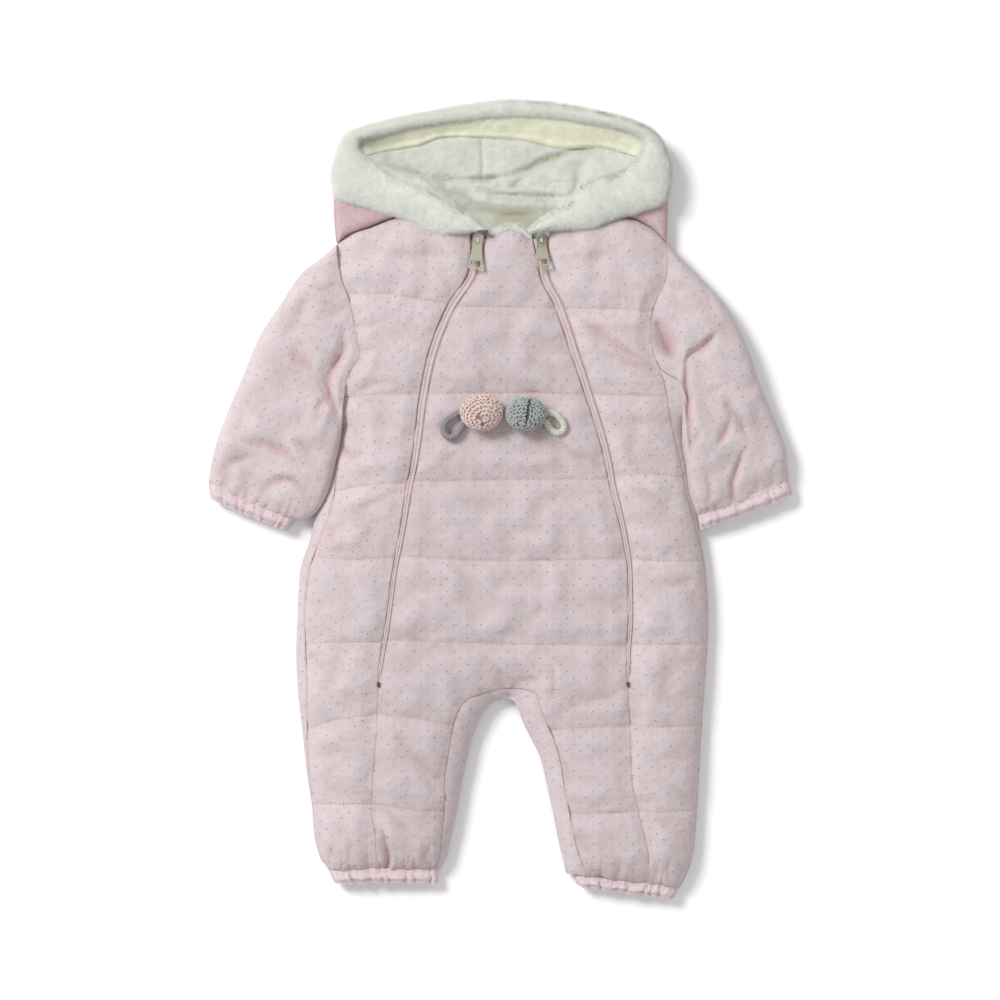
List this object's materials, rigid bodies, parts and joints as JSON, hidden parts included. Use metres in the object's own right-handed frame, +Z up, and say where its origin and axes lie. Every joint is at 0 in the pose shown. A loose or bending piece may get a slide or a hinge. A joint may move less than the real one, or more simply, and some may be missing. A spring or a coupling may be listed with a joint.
{
  "type": "padded hooded baby pramsuit",
  "caption": "Padded, quilted pramsuit for a baby, laid flat: fur-edged hood, curved zips with swinging pull tabs, gathered cuffs and ankles, crocheted balls and cord loops on the chest.",
  "frame": {"origin": "middle of the bounding box in plan, on the surface the suit lies on", "axes": "+Z up from the surface, through the back to the front of the suit; +Y towards the hood; +X to the right of someone looking down on its front, which is the wearer's left"},
  "size_m": [0.478, 0.654, 0.0487],
  "materials": {
    "pink_padded_cloth": "matt woven cotton, dusty pink with a fine grey-mauve pin dot, lightly quilted",
    "cream_plush": "short cream plush",
    "cream_fur": "long soft cream faux fur",
    "zip_tape": "woven zip tape with a nylon coil, dusty rose",
    "nickel": "smooth pale gold nickel plate",
    "ball_pink": "crocheted yarn, dusty pink",
    "ball_grey": "crocheted heather yarn, grey",
    "loop_grey": "knitted cord, warm grey",
    "loop_cream": "knitted cord, cream"
  },
  "bodies": {
    "suit": {"front_centre": "pink_padded_cloth", "front_side_left": "pink_padded_cloth", "front_side_right": "pink_padded_cloth", "back_left": "pink_padded_cloth", "back_right": "pink_padded_cloth", "sleeve_left": "pink_padded_cloth", "sleeve_right": "pink_padded_cloth", "cuff_left": "pink_padded_cloth", "cuff_right": "pink_padded_cloth", "ankle_left": "pink_padded_cloth", "ankle_right": "pink_padded_cloth", "hood_back": "pink_padded_cloth", "hood_left": "pink_padded_cloth", "hood_right": "pink_padded_cloth", "hood_facing": "cream_plush", "hood_lining_left": "cream_plush", "hood_lining_right": "cream_plush", "neck_lining": "cream_plush", "neck_facing": "cream_plush", "fur_trim": "cream_fur", "zip_left": "zip_tape", "zip_right": "zip_tape", "zip_stop_left": "nickel", "zip_stop_right": "nickel", "slider_left": "nickel", "slider_right": "nickel", "ball_pink": "ball_pink", "ball_grey": "ball_grey", "loop_grey": "loop_grey", "loop_cream": "loop_cream"},
    "tab_left": {"pull_tab_left": "nickel"},
    "tab_right": {"pull_tab_right": "nickel"}
  },
  "joints": [
    {"name": "pull_tab_left_hinge", "type": "hinge", "parent": "suit", "child": "tab_left", "pos_m": [-0.01856, 0.21137, 0.02104], "axis": [-0.9963, 0.0862, 0], "range_deg": [0, 95]},
    {"name": "pull_tab_right_hinge", "type": "hinge", "parent": "suit", "child": "tab_right", "pos_m": [0.03334, 0.21178, 0.01875], "axis": [-0.999, -0.0444, 0], "range_deg": [0, 80]}
  ]
}
